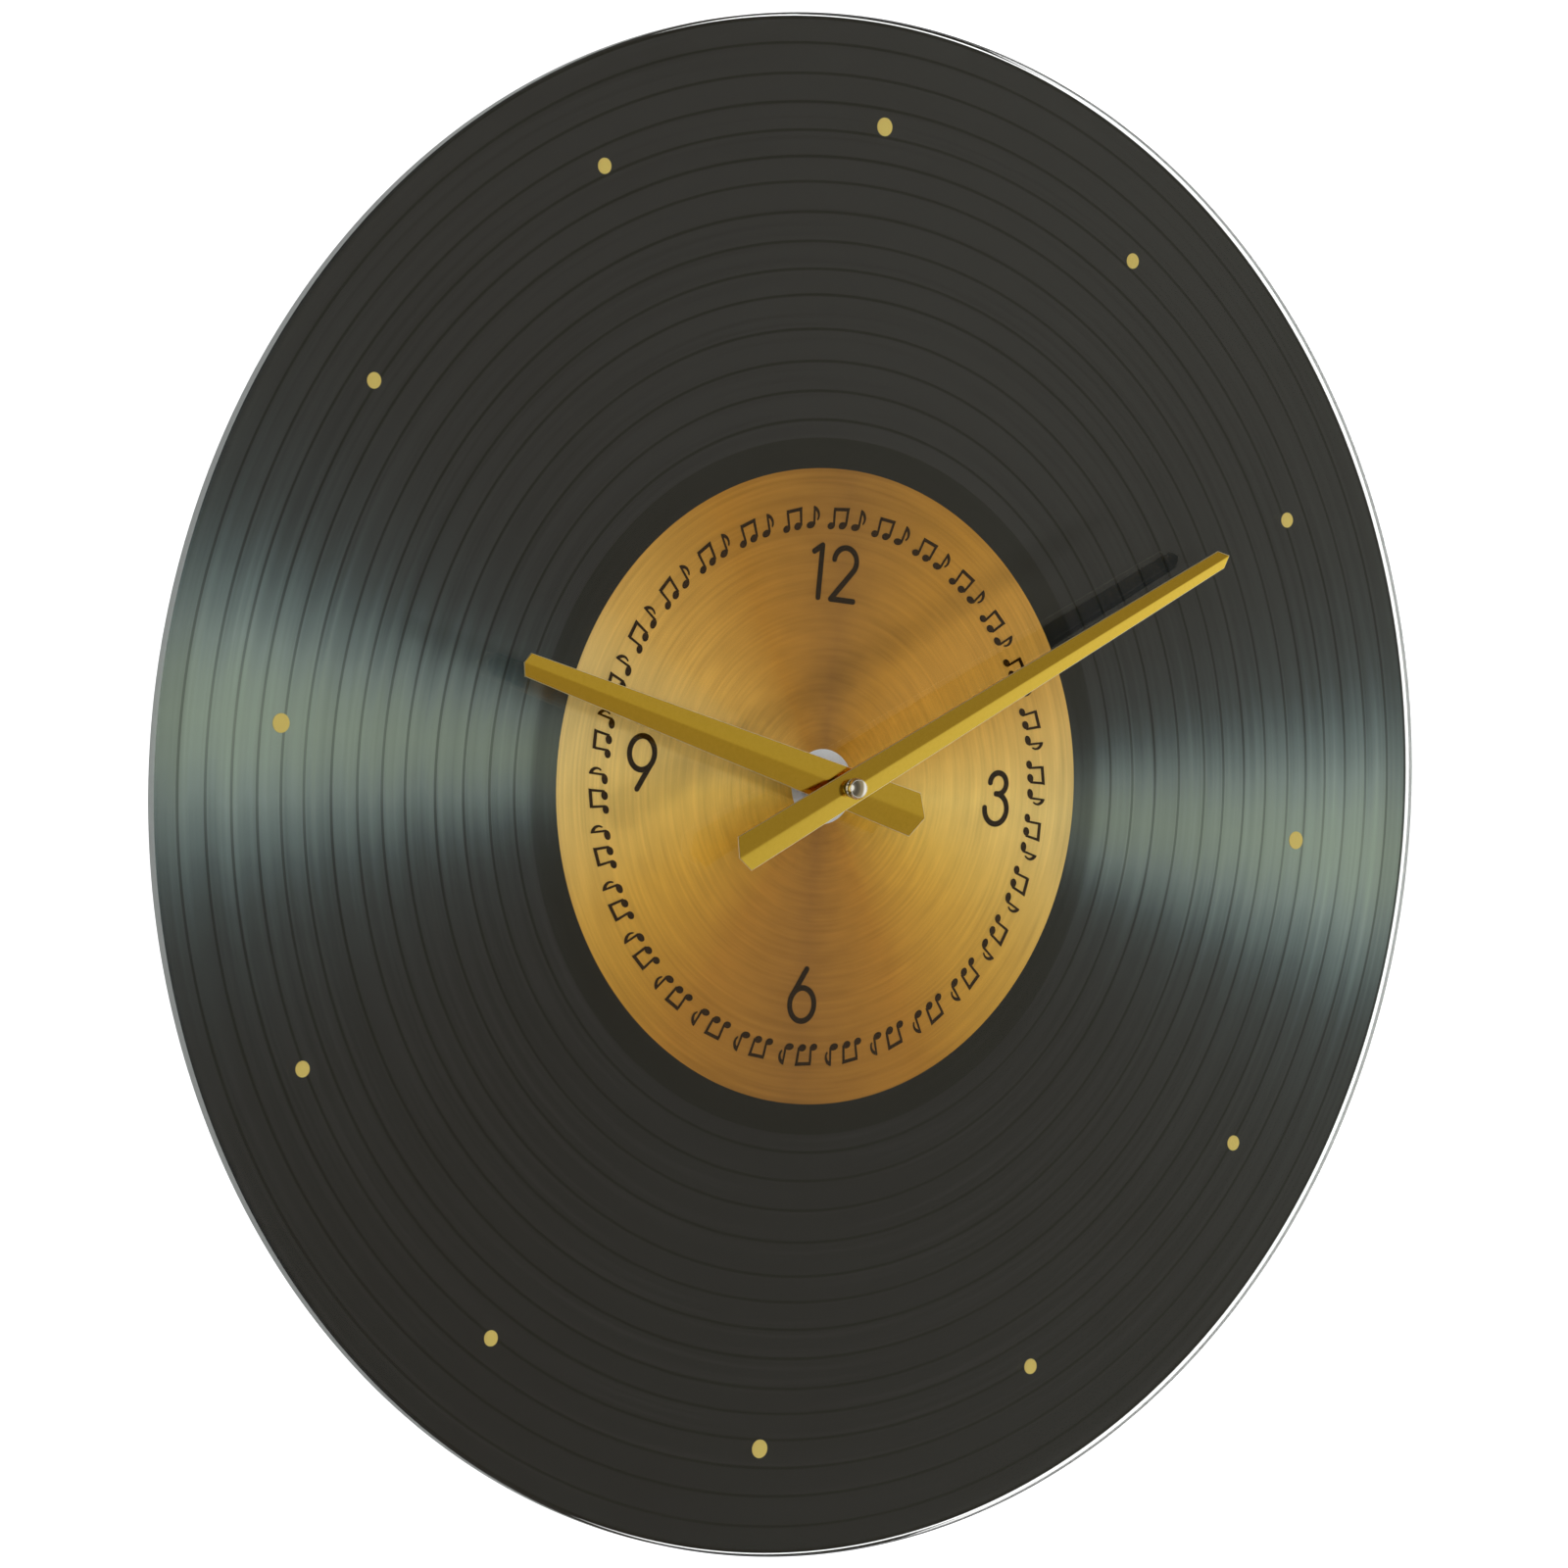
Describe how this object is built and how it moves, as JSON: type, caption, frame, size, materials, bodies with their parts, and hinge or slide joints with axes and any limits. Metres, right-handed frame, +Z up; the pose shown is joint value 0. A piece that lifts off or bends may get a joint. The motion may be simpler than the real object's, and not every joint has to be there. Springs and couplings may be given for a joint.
{
  "type": "glass wall clock",
  "caption": "Round glass wall clock printed like a vinyl record, with a gold label, folded metal hands and a battery movement behind.",
  "frame": {"origin": "the point where the axis of the hands meets the wall, on the flat rear face of the movement", "axes": "+Z up through the 12 with the clock hung, -Y out of the dial towards the room, +X to the right as the dial is read"},
  "size_m": [0.4299, 0.0397, 0.43],
  "materials": {
    "clear_glass": "polished clear float glass with a ground edge",
    "record_film": "printed black vinyl grooves",
    "label_film": "printed brushed gold label",
    "white_film": "unprinted white",
    "backing_film": "dull dark safety film",
    "dot_ink": "pale gold ink",
    "numeral_ink": "near-black ink",
    "note_ink": "dark brown-black ink",
    "bush_brass": "machined thread",
    "bracket_steel": "zinc plated",
    "gasket_rubber": "matt",
    "washer_rubber": "matt",
    "washer_brass": "stamped",
    "nut_brass": "machined",
    "hour_hand_metal": "gold anodised, satin",
    "minute_hand_metal": "gold anodised, satin",
    "cap_metal": "mirror polished",
    "hour_wheel_plastic": "moulded",
    "arbor_brass": "turned",
    "spring_brass": "sprung sheet",
    "case_plastic": "fine moulded texture",
    "cover_plastic": "fine moulded texture",
    "bridge_plastic": "moulded",
    "screw_steel": "plated",
    "motion_plastic": "moulded",
    "centre_plastic": "moulded",
    "third_plastic": "moulded",
    "seconds_plastic": "moulded",
    "intermediate_plastic": "moulded",
    "rotor_plastic": "moulded",
    "magnet_ferrite": "sintered",
    "knob_plastic": "moulded with fine ribs",
    "bobbin_plastic": "moulded",
    "winding_copper": "enamelled copper wire",
    "core_iron": "annealed",
    "stator_iron": "stamped",
    "board_laminate": "solder mask",
    "chip_resin": "poured resin",
    "crystal_can": "drawn metal",
    "battery_jacket": "printed jacket, no marks",
    "contact_nickel": "nickel plated",
    "leaf_nickel": "nickel plated"
  },
  "bodies": {
    "clock_case": {"glass_disc": "clear_glass", "record_print": "record_film", "label_print": "label_film", "centre_spot": "white_film", "backing_film": "backing_film", "hour_dots": "dot_ink", "numerals": "numeral_ink", "note_ring": "note_ink", "threaded_bush": "bush_brass", "hanger_bracket": "bracket_steel", "rear_gasket": "gasket_rubber", "rubber_washer": "washer_rubber", "brass_washer": "washer_brass", "hex_nut": "nut_brass", "front_case": "case_plastic", "rear_cover": "cover_plastic", "train_plate": "bridge_plastic", "plate_screws": "screw_steel", "coil_bobbin": "bobbin_plastic", "coil_winding": "winding_copper", "coil_core": "core_iron", "stator": "stator_iron", "circuit_board": "board_laminate", "chip_blob": "chip_resin", "quartz_crystal": "crystal_can", "battery": "battery_jacket", "contact_plus": "contact_nickel", "contact_minus": "leaf_nickel"},
    "minute_group": {"minute_hand": "minute_hand_metal", "minute_arbor": "arbor_brass", "clutch_spring": "spring_brass", "cap_nut": "cap_metal"},
    "hour_group": {"hour_hand": "hour_hand_metal", "hour_wheel": "hour_wheel_plastic"},
    "motion_group": {"motion_wheel": "motion_plastic"},
    "knob_group": {"setting_knob": "knob_plastic"},
    "seconds_group": {"seconds_wheel": "seconds_plastic"},
    "third_group": {"third_wheel": "third_plastic"},
    "centre_group": {"centre_wheel": "centre_plastic"},
    "intermediate_group": {"intermediate_wheel": "intermediate_plastic"},
    "rotor_group": {"rotor_pinion": "rotor_plastic", "rotor_magnet": "magnet_ferrite"}
  },
  "joints": [
    {"name": "minute_hand_turn", "type": "hinge", "parent": "clock_case", "child": "minute_group", "pos_m": [0, -0.008, 0], "axis": [0, 1, 0], "continuous": true},
    {"name": "hour_hand_turn", "type": "hinge", "parent": "clock_case", "child": "hour_group", "pos_m": [0, -0.008, 0], "axis": [0, 1, 0], "continuous": true},
    {"name": "motion_wheel_turn", "type": "hinge", "parent": "clock_case", "child": "motion_group", "pos_m": [-0.01039, -0.008, 0.006], "axis": [0, 1, 0], "continuous": true},
    {"name": "setting_knob_turn", "type": "hinge", "parent": "clock_case", "child": "knob_group", "pos_m": [-0.014, -0.008, -0.00544], "axis": [0, 1, 0], "continuous": true},
    {"name": "seconds_wheel_turn", "type": "hinge", "parent": "clock_case", "child": "seconds_group", "pos_m": [0, -0.008, 0], "axis": [0, 1, 0], "continuous": true},
    {"name": "third_wheel_turn", "type": "hinge", "parent": "clock_case", "child": "third_group", "pos_m": [0.01182, -0.008, -0.00317], "axis": [0, 1, 0], "continuous": true},
    {"name": "centre_wheel_turn", "type": "hinge", "parent": "clock_case", "child": "centre_group", "pos_m": [0, -0.008, 0], "axis": [0, 1, 0], "continuous": true},
    {"name": "intermediate_wheel_turn", "type": "hinge", "parent": "clock_case", "child": "intermediate_group", "pos_m": [-0.00182, -0.008, 0.01034], "axis": [0, 1, 0], "continuous": true},
    {"name": "rotor_turn", "type": "hinge", "parent": "clock_case", "child": "rotor_group", "pos_m": [-0.009, -0.008, 0.01369], "axis": [0, 1, 0], "continuous": true}
  ],
  "couplings": [
    {"joint": "hour_hand_turn", "follows": "minute_hand_turn", "ratio": 0.083333},
    {"joint": "motion_wheel_turn", "follows": "minute_hand_turn", "ratio": -0.33333},
    {"joint": "setting_knob_turn", "follows": "minute_hand_turn", "ratio": 1},
    {"joint": "third_wheel_turn", "follows": "seconds_wheel_turn", "ratio": -0.13333},
    {"joint": "centre_wheel_turn", "follows": "seconds_wheel_turn", "ratio": 0.016667},
    {"joint": "intermediate_wheel_turn", "follows": "seconds_wheel_turn", "ratio": -6},
    {"joint": "rotor_turn", "follows": "seconds_wheel_turn", "ratio": 30}
  ]
}
